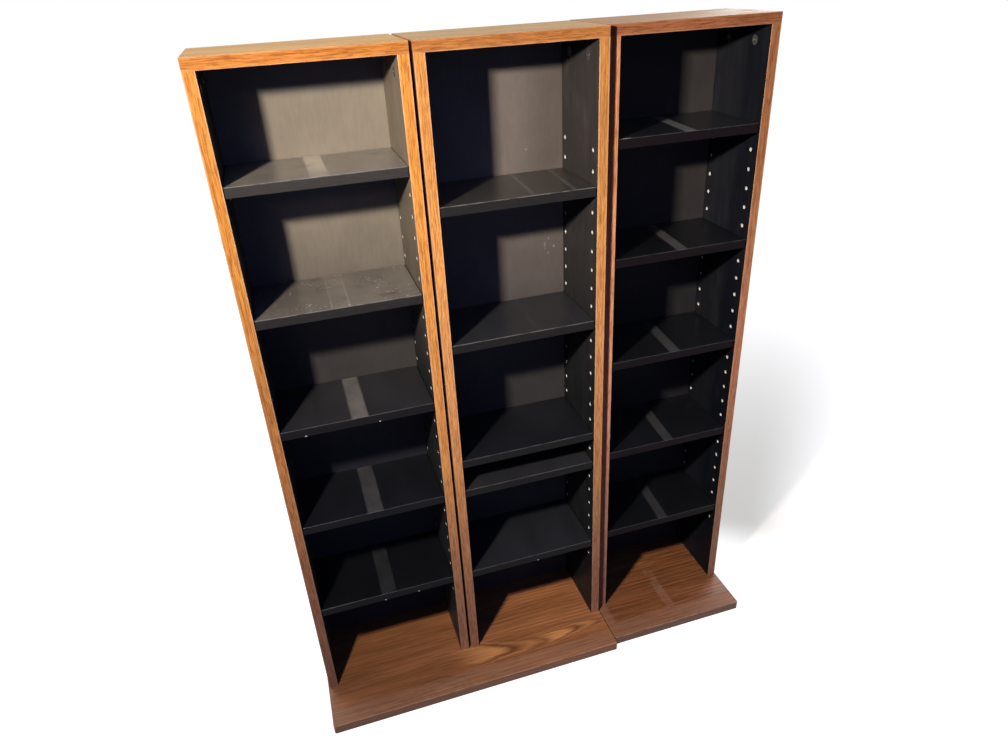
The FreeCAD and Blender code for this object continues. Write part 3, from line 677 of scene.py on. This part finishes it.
def shelfTopPaint(tower, number):
    look = towers[tower]
    lo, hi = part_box(f"{tower}_shelf_{number}")
    seed = look["seed"] + shelf["seedStep"] * number
    paint, w, x, y, z = startPaint(f"{tower}_shelf_{number}_laminate")
    above = z.past(hi.z, shelf["top"])
    grain = pattern(w, x, y, shelf["grain"], seed)
    smear = pattern(w, x, y, shelf["smear"], seed)
    grey = look["shelf"][number - 1]
    dusty = min(1.0, grey / shelf["dustyFrom"])
    tint = between(shelf["blackTint"], shelf["dustyTint"], dusty)
    colour = tinted(scaled(tint, grey), grain.spread(), *shelf["grainTones"])
    colour = tinted(colour, smear, *shelf["smearTones"])
    # painted shade: the underside darker than the top
    colour = above.paint(scaled(shelf["blackTint"], shelf["underside"]), colour)
    patchy = pattern(w, x, y, shelf["patchy"], seed)
    dust = shelfDust(x, y, lo, hi, look["strip"], number, patchy)
    colour = (above * dust).paint(colour, between(*look["strip"]["colours"], dusty))
    if number in look["marks"]:
        mark = spots(x, y, look["marks"][number]) * (0.25 + 0.6 * patchy)
        colour = (above * mark).paint(colour, bareCore)
    if dusty == 1.0:  # rubbed places, painted shadow in the rear left corner and lint on the dusty shelves
        cleanAndShaded = pattern(w, x, y, shelf["cleanAndShaded"], seed)
        colour = tinted(colour, above * cleanAndShaded, 1.0, shelf["cleanTone"])
        fromShadowLine = x - lo.x + (hi.y - y) * shelf["shadowSlope"]  # from the rear left corner; painted shadow where the left side shades the shelf
        colour = tinted(colour, above * (1 - fromShadowLine.fade(*shelf["shadowSpan"])), 1.0, shelf["shadowTone"])
        lint = pattern(w, x, y, shelf["lint"], seed) * pattern(w, x, y, shelf["lintPlaces"], seed)
        colour = (above * lint * shelf["lintShare"]).paint(colour, bareCore)
    worn = 1 - distance(y - lo.y, z - hi.z).fade(*shelf["wornTop"])
    colour = (worn * rubbedShare(w, x, z, seed, look, number, hi.z)).paint(colour, shelf["rubbed"])
    rough = 0.32 + 0.04 * smear + dust * 0.3
    relief = grain * 0.4 + dust * 0.2
    finishPaint(w, colour, rough, relief, depth=0.05 * mm, strength=0.12, **shelf["sheen"])
    return paint


def shelfBandPaint(tower, number):
    look = towers[tower]
    lo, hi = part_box(f"{tower}_shelf_{number}")
    seed = look["seed"] + shelf["seedStep"] * number
    paint, w, x, y, z = startPaint(f"{tower}_shelf_{number}_band")
    grain = pattern(w, x, z, shelf["bandGrain"], seed)
    # painted light with dust: the band paler higher up
    colour = tinted(dustAndPaintedLight(z, look, "band"), grain.spread(), *shelf["bandTones"])
    worn = z.past(hi.z, shelf["wornBand"])
    colour = (worn * rubbedShare(w, x, z, seed, look, number, hi.z)).paint(colour, shelf["rubbed"])
    if number in look["chips"]:
        chips = [(place, lo.z / mm, *shelf["chipSize"]) for place in look["chips"][number]]
        colour = spots(x, z, chips).paint(colour, bareCore)
    finishPaint(w, colour, 0.5 + 0.15 * grain, grain, depth=0.06 * mm, strength=0.3, Specular_IOR_Level=0.06)
    return paint


def buildShelf(tower, number):
    node = f"{tower}_shelf_{number}"
    lo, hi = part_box(node)
    dents = knocks(int(10 * towers[tower]["seed"]) + 100 * number, shelf["knocks"])
    shells = [boardShell(lo, hi, 0, shelf["arris"], shelf["stations"], dents)]
    paints = [shelfTopPaint(tower, number), shelfBandPaint(tower, number)]
    addPiece(f"{tower}_shelf_{number}_board", shells, paints, node, node, shelf["bandStrips"])


# Base boards: dark oak-grain laminate along X, dusty at the front and rubbed at the rim, with painted shade
# toward the floor.
# A tongue of flat-cut grain is a nest of parabolas, level = along / long + (across / wide)^2 from its tip.
# An eye is a nest of ovals, level = sqrt((along / long)^2 + (across / wide)^2) from its middle.
# Both are pale inside and lined with dark at the levels of their rings: (level, half width, share).
# tongues and eyes: (x, y, long, wide, tilt in degrees, share), the sizes in millimetres
baseBoard = {
    "oak": (0.168, 0.068, 0.0264), "pale": (0.300, 0.140, 0.050), "dark": (0.058, 0.0225, 0.010),
    "ring": 9 * mm, "dust": (0.200, 0.107, 0.068), "dustReach": 40 * mm, "dustShare": 0.42,
    "raggedFront": 12 * mm, "raggedEnd": 10 * mm, "top": (-0.4 * mm, -0.1 * mm),
    "rubbed": (0.236, 0.150, 0.100), "rim": (0.6 * mm, 2.6 * mm),
    "frontShade": (0.70, 0.54, 0.43), "front": (0.1 * mm, 0.4 * mm),
    "footSpan": (0.5 * mm, 9 * mm), "footShare": 0.55, "footTone": 0.30, "lateFrom": (-0.30, -0.10),
    "toneSpan": (-0.25, 0.0), "lateSpan": (0.25, 0.86, 0.92), "lateShare": 0.32, "ringShare": 0.75,
    "wander": (6.0, 8.0, 0.0, 2.0, 0.5), "ripple": (26.0, 70.0, 1.0, 2.0, 0.5),
    "warp": (22.0, 30.0, 5.0, 2.0, 0.5),
    "lines": (9.0, 300.0, 2.0, 3.0, 0.6, 0.40, 0.62), "broad": (3.0, 26.0, 3.0, 3.0, 0.5, 0.3, 0.7),
    "pores": (30.0, 640.0, 0.0, 3.0, 0.7, 0.51, 0.64), "ragged": (30.0, 50.0, 0.0, 4.0, 0.6),
    "rub": (60.0, 60.0, 1.0, 4.0, 0.65, 0.34, 0.60), "broadTones": (0.86, 1.12), "poreShare": 0.45,
    "tongue": {
        "warp": 1.0, "ripple": 0.35, "start": (-2.6, -1.0), "end": (1.2, 2.6), "blunt": (0.3, 1.5),
        "inside": (-0.60, -0.02), "innerBand": (0.75, 0.42), "innerShare": 0.45,
        "rise": 1.2, "riseReach": -0.4, "rings": ((0.10, 0.30, 1.0), (1.40, 0.34, 0.7), (2.3, 0.3, 0.4))},
    "eye": {
        "warp": 1.6, "ripple": 0.9, "inside": (0.4, 0.9), "insideShare": 0.4, "rearFade": (-0.6, 0.3),
        "rings": ((0.9, 0.24, 1.0), (1.45, 0.26, 0.8), (2.1, 0.3, 0.6))},
    "double_base": {
        "seed": 2.2, "tone": (1.02, 1.40), "contrast": 0.6, "endReach": 8 * mm, "dustLines": 1.0,
        "tongues": ((-61, -66, 52, 17, -5, 1.0), (79, -62, 38, 11, 4, 0.9)),
        "eyes": ((-216, -114, 26, 12, -10, 0.7), (-330, -116, 34, 7, 0, 0.4))},
    "single_base": {
        "seed": 6.4, "tone": (0.84, (0.88, 0.82, 0.80)), "contrast": 0.95,
        "endReach": 22 * mm, "dustLines": 0.4,
        "tongues": ((310, 62, 60, 9, 0, 0.5),), "eyes": ((250, -70, 36, 8, 4, 0.3),),
        "strip": {"at": 4 * mm, "border": (8 * mm, 11 * mm), "rear": (0.02, 0.05), "ragged": (0.3, 0.6)}},
}


def turnedOffsets(x, across, figure):  # offsets along and across a figure, in its own lengths and widths
    middleX, middleY, long, wide, tilt, share = figure
    turnX, turnY = math.cos(math.radians(tilt)), math.sin(math.radians(tilt))
    offX, offY = x - middleX * mm, across - middleY * mm
    return (offX * turnX + offY * turnY) / (long * mm), (offY * turnX - offX * turnY) / (wide * mm), share


def ringLines(level, rings):
    return sum(level.near(at, width) * share for at, width, share in rings)


def flatCutFigure(x, across, own, warp, ripple):  # how far the rings rise, pale insides, dark ring lines
    rise, pale, ringed = 0.0, 0.0, 0.0
    s = baseBoard["tongue"]
    for figure in own["tongues"]:
        offLong, offWide, share = turnedOffsets(x, across, figure)
        offWide = offWide + warp * s["warp"]
        level = offLong + offWide * offWide + (ripple - 0.5) * s["ripple"]
        here = offLong.fade(*s["start"]) * (1 - offLong.fade(*s["end"])) * share
        blunt = 1 - abs(offWide).fade(*s["blunt"])
        inside = (1 - level.fade(*s["inside"])) + level.near(*s["innerBand"]) * s["innerShare"]
        bell = ((offLong * offLong * 0.5 + offWide * offWide) * s["riseReach"]).calc("EXPONENT")
        rise = rise + bell * s["rise"] * share
        pale = (inside * here).most(pale)
        ringed = (ringLines(level, s["rings"]) * here * (0.40 + 0.60 * blunt)).most(ringed)
    s = baseBoard["eye"]
    for figure in own["eyes"]:
        offLong, offWide, share = turnedOffsets(x, across, figure)
        offWide = offWide + warp * s["warp"]
        level = distance(offLong, offWide) + (ripple - 0.5) * s["ripple"]
        pale = ((1 - level.fade(*s["inside"])) * share * s["insideShare"]).most(pale)
        ring = ringLines(level, s["rings"]) * (0.25 + 0.75 * offWide.fade(*s["rearFade"])) * share
        ringed = ring.most(ringed)
    return rise, pale, ringed


def baseDust(x, y, lo, hi, own, ragged):  # dust along the front, at the left end, and where no case stood
    reach, endReach = baseBoard["dustReach"], own["endReach"]
    frontBand = 1 - (y - lo.y - (ragged - 0.5) * baseBoard["raggedFront"]).fade(0.8 * reach, reach)
    endBand = 1 - (x - lo.x - (ragged - 0.5) * baseBoard["raggedEnd"]).fade(0.6 * endReach, endReach)
    dust = frontBand.most(endBand)
    if "strip" in own:
        strip = own["strip"]
        gap = abs(x - (lo.x + hi.x) / 2 - strip["at"])
        cover = (1 - gap.fade(*strip["border"])) * (1 - y.fade(*strip["rear"]))
        dust = dust.most(cover * ragged.fade(*strip["ragged"]))
    return dust


def basePaint(name):
    lo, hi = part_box(name)
    own = baseBoard[name]
    seed = own["seed"]
    paint, w, x, y, z = startPaint(f"{name}Oak")
    across = y - (hi.z - z)  # the grain turns down over the front edge
    wander = pattern(w, x, across, baseBoard["wander"], seed)
    ripple = pattern(w, x, across, baseBoard["ripple"], seed)
    warp = pattern(w, x, across, baseBoard["warp"], seed) - 0.5
    rise, pale, ringed = flatCutFigure(x, across, own, warp, ripple)
    rings = across / baseBoard["ring"] + (wander - 0.5) * 3.0 + (ripple - 0.5) * 0.5 + rise
    late = lateWood(rings, *baseBoard["lateSpan"])
    lines = pattern(w, x, across, baseBoard["lines"], seed)
    broad = pattern(w, x, across, baseBoard["broad"], seed)
    pores = pattern(w, x, across, baseBoard["pores"], seed)
    colour = pale.paint(baseBoard["oak"], baseBoard["pale"])
    plainLate = late * baseBoard["lateShare"] * (1 - pale) * x.fade(*baseBoard["lateFrom"])
    colour = plainLate.paint(colour, baseBoard["dark"])
    colour = (ringed * baseBoard["ringShare"]).paint(colour, baseBoard["dark"])
    colour = tinted(colour, broad, *baseBoard["broadTones"])
    colour = tinted(colour, x.fade(*baseBoard["toneSpan"]), *own["tone"])
    ragged = pattern(w, x, y, baseBoard["ragged"], seed)
    dust = baseDust(x, y, lo, hi, own, ragged)
    above = z.past(hi.z, baseBoard["top"])
    colour = (above * dust * baseBoard["dustShare"] * (0.4 + 1.1 * ragged)).paint(colour, baseBoard["dust"])
    contrast = own["contrast"]
    shownLines = 0.5 + (lines - 0.5) * (1 - above * dust * (1 - own["dustLines"]))  # fainter under dust
    colour = tinted(colour, shownLines, 1.0 + 0.18 * contrast, 1.0 - 0.36 * contrast)
    colour = (pores * baseBoard["poreShare"] * contrast).paint(colour, baseBoard["dark"])
    rim = 1 - distance(y - lo.y, z - hi.z).fade(*baseBoard["rim"])
    rub = pattern(w, x, y, baseBoard["rub"], seed)
    colour = (rim * (0.2 + 0.6 * rub)).paint(colour, baseBoard["rubbed"])
    colour = tinted(colour, 1 - y.past(lo.y, baseBoard["front"]), 1.0, baseBoard["frontShade"])
    # painted shade: darker toward the floor, where the base meets it
    foot = 1 - z.fade(*baseBoard["footSpan"])
    colour = (foot * baseBoard["footShare"]).paint(colour, scaled(baseBoard["oak"], baseBoard["footTone"]))
    rough = 0.40 + 0.10 * broad + dust * above * 0.2
    finishPaint(w, colour, rough, pores * -0.5 + late * -0.2, depth=0.12 * mm, Specular_IOR_Level=0.35)
    return paint


# Small fittings: moulded pins, die-cast cams, plated bolts and screws, fluted beech dowels.
# Each has a name, a colour, metallic, roughness and the scale of its mottle.
fittings = {
    "shelf_pins": ("pinPlastic", (0.02, 0.02, 0.021), 0.0, 0.42, 500.0),
    "cam_discs": ("camZinc", (0.18, 0.18, 0.185), 0.9, 0.40, 350.0),
    "cam_bolts": ("boltSteel", (0.62, 0.61, 0.58), 1.0, 0.32, 400.0),
    "screws": ("screwSteel", (0.58, 0.57, 0.55), 1.0, 0.35, 400.0),
    "dowels": ("dowelBeech", (0.66, 0.46, 0.27), 0.0, 0.6, 250.0),
}


def fittingPaint(name, colour, metallic, rough, scale):
    paint, w, x, y, z = startPaint(name)
    mottle = solidNoise(w, x, y, z, scale, 3.0, 0.6)
    fine = solidNoise(w, x, y, z, scale * 6)
    tone = mottle.spread().paint(scaled(colour, 0.78), scaled(colour, 1.12))
    rough = rough + 0.18 * (mottle - 0.5)
    finishPaint(w, tone, rough, fine, depth=0.05 * mm, strength=0.3, Metallic=metallic)
    return paint


fittingPaints = {part: fittingPaint(*row) for part, row in fittings.items()}

for tower in towers:
    buildEdging(tower)
    buildTop(tower)
    for side in ("left_side", "right_side"):
        paintNode(f"{tower}_{side}", sidePaint(tower, side))
    paintNode(f"{tower}_back", panelPaint(tower))
    for number in shelfNumbers:
        buildShelf(tower, number)
        paintNode(f"{tower}_shelf_pins_{number}", fittingPaints["shelf_pins"])
    for part in ("cam_discs", "cam_bolts", "dowels"):
        paintNode(f"{tower}_{part}", fittingPaints[part])
    print("dressed", tower)
for base in ("double_base", "single_base"):
    paintNode(base, basePaint(base))
    paintNode(f"{base}_screws", fittingPaints["screws"])
print("dressed the bases")


# Floor and world: white to the camera and in reflections, a plain pale floor to the light.
# Painted shadow: the floor's glow is lowered behind the towers and along dullTurn from dullFrom, where the
# front lamp is hidden.
stage = {
    "half": 9.0, "cells": 4, "drop": 0.3 * mm, "floor": (0.20, 0.20, 0.20), "bounce": (0.06, 0.065, 0.08),
    "dullShare": 0.58, "dullFrom": (0.55, 0.05), "dullTurn": (0.6, 0.8), "dullStart": (-0.06, 0.10),
    "dullLong": (0.1, 2.2), "dullWide": (0.15, 0.40), "rearSpan": (0.05, 0.25),
    "leftEdge": 0.46, "leftLean": 0.4, "leftSoft": 0.4, "glowTint": (1.0, 0.985, 0.87),
    "fill": (0.18, 0.28, 1.0), "fillStrength": 0.38,
}


def backdropShare(w):  # 1 for rays that show the background
    camera, glossy, through = w.node("LightPath", {}, {},
                                     out=("Is Camera Ray", "Is Glossy Ray", "Is Transmission Ray"))
    return camera.most(glossy.most(through))


def paintedFloorShadow(x, y):  # 1 where the painted shadow on the floor is darkest
    offX, offY = x - stage["dullFrom"][0], y - stage["dullFrom"][1]
    turnX, turnY = stage["dullTurn"]
    along, aside = offX * turnX + offY * turnY, offX * turnY - offY * turnX
    behind = y.fade(*stage["rearSpan"]).most(along.fade(*stage["dullStart"]))
    fromLeft = (x - y * stage["leftLean"] + stage["leftEdge"]).fade(0.0, stage["leftSoft"])
    wide, widen = stage["dullWide"]
    beside = aside.fade(0.0, wide + along * widen)
    return behind * (1 - along.fade(*stage["dullLong"])) * fromLeft * (1 - beside)


def buildFloor():  # a flat grid, point(i, j) = (-half + i * step, -half + j * step, -drop)
    cells = stage["cells"]
    count = cells + 1
    grid = np.linspace(-stage["half"], stage["half"], count)
    across, back = np.meshgrid(grid, grid, indexing="ij")
    points = np.stack([across, back, np.full_like(across, -stage["drop"])], -1).reshape(-1, 3)
    j, i = np.meshgrid(np.arange(cells), np.arange(cells), indexing="ij")
    corners = [j * count + i, (j + 1) * count + i, (j + 1) * count + i + 1, j * count + i + 1]
    mesh = bpy.data.meshes.new("floor")
    mesh.from_pydata(points.tolist(), [], np.stack(corners, -1).reshape(-1, 4).tolist())
    paint, w, x, y, z = startPaint("floorPaper")
    plain = w.node("BsdfDiffuse", {}, {"Color": rgba(stage["floor"])})
    # painted shadow: the glow is lowered there
    glow = paintedFloorShadow(x, y).paint((1.0, 1.0, 1.0), scaled(stage["glowTint"], 1 - stage["dullShare"]))
    shine = w.node("Emission", {}, {"Color": glow, "Strength": 1.0})
    shown = w.node("AddShader", {}, {0: plain, 1: shine})
    dim = w.node("BsdfDiffuse", {}, {"Color": rgba(stage["bounce"])})
    surface = w.node("MixShader", {}, {0: backdropShare(w), 1: dim, 2: shown})
    w.node("OutputMaterial", {}, {"Surface": surface}, out=None)
    mesh.materials.append(paint)
    floor = bpy.data.objects.new("floor", mesh)
    bpy.context.scene.collection.objects.link(floor)


def buildWorld():
    world = bpy.data.worlds.new("studio")
    bpy.context.scene.world = world
    world.use_nodes = True
    world.node_tree.nodes.clear()
    w = Wire(world.node_tree)
    fill = w.node("Background", {}, {"Color": rgba(stage["fill"]), "Strength": stage["fillStrength"]})
    white = w.node("Background", {}, {"Color": (1.0, 1.0, 1.0, 1.0), "Strength": 1.0})
    surface = w.node("MixShader", {}, {0: backdropShare(w), 1: fill, 2: white})
    w.node("OutputWorld", {}, {"Surface": surface}, out=None)


lamps = {
    "key": {"place": (-0.729, -0.692, 1.347), "toward": (0.237, -0.433, 1.347), "size": (0.08, 0.05),
            "power": 41.0, "tint": (1.0, 0.87, 0.72), "falloff": "Linear"},
    "rearLeft": {"place": (-1.7, 1.7, 1.5), "toward": (-0.2, 0.1, 0.6), "size": (1.4, 1.4),
                 "power": 38.0, "tint": (1.0, 0.97, 0.93), "falloff": "Quadratic"},
    "rearRight": {"place": (1.9, 1.3, 1.5), "toward": (0.3, 0.1, 0.6), "size": (1.4, 1.4),
                  "power": 38.0, "tint": (1.0, 0.97, 0.93), "falloff": "Quadratic"},
    "above": {"place": (0.0, 0.7, 2.6), "toward": (0.0, 0.1, 1.1), "size": (1.6, 0.8),
              "power": 25.0, "tint": (1.0, 0.96, 0.90), "falloff": "Quadratic"},
}


def buildLamp(name, s):
    light = bpy.data.lights.new(name, "AREA")
    light.shape = "RECTANGLE"
    light.size, light.size_y = s["size"]
    light.energy = s["power"]
    light.color = s["tint"]
    light.use_nodes = True
    light.node_tree.nodes.clear()
    w = Wire(light.node_tree)
    strength = w.node("LightFalloff", {}, {"Strength": 1.0}, out=s["falloff"])
    glow = w.node("Emission", {}, {"Color": (1.0, 1.0, 1.0, 1.0), "Strength": strength})
    w.node("OutputLight", {}, {"Surface": glow}, out=None)
    lamp = bpy.data.objects.new(name, light)
    lamp.location = s["place"]
    lamp.rotation_euler = (Vector(s["toward"]) - Vector(s["place"])).to_track_quat("-Z", "Y").to_euler()
    bpy.context.scene.collection.objects.link(lamp)


view = {"place": (-0.33876, -1.06531, 1.21770), "yaw": 0.28178, "pitch": 0.50650, "roll": -0.05381,
        "lens": 26.259, "sensor": 36.0}


def buildCamera():  # looks along (sin yaw cos pitch, cos yaw cos pitch, -sin pitch), rolled about that line
    lens = bpy.data.cameras.new("viewer")
    lens.sensor_fit = "HORIZONTAL"
    lens.sensor_width = view["sensor"]
    lens.lens = view["lens"]
    viewer = bpy.data.objects.new("viewer", lens)
    turn = Matrix.Rotation(-view["yaw"], 3, "Z") @ Matrix.Rotation(math.pi / 2 - view["pitch"], 3, "X")
    viewer.rotation_euler = (turn @ Matrix.Rotation(view["roll"], 3, "Z")).to_euler()
    viewer.location = view["place"]
    bpy.context.scene.collection.objects.link(viewer)
    bpy.context.scene.camera = viewer


buildFloor()
buildWorld()
for name, settings in lamps.items():
    buildLamp(name, settings)
buildCamera()
bpy.context.scene.view_settings.view_transform = "Standard"
print("stage, lamps and camera ready")
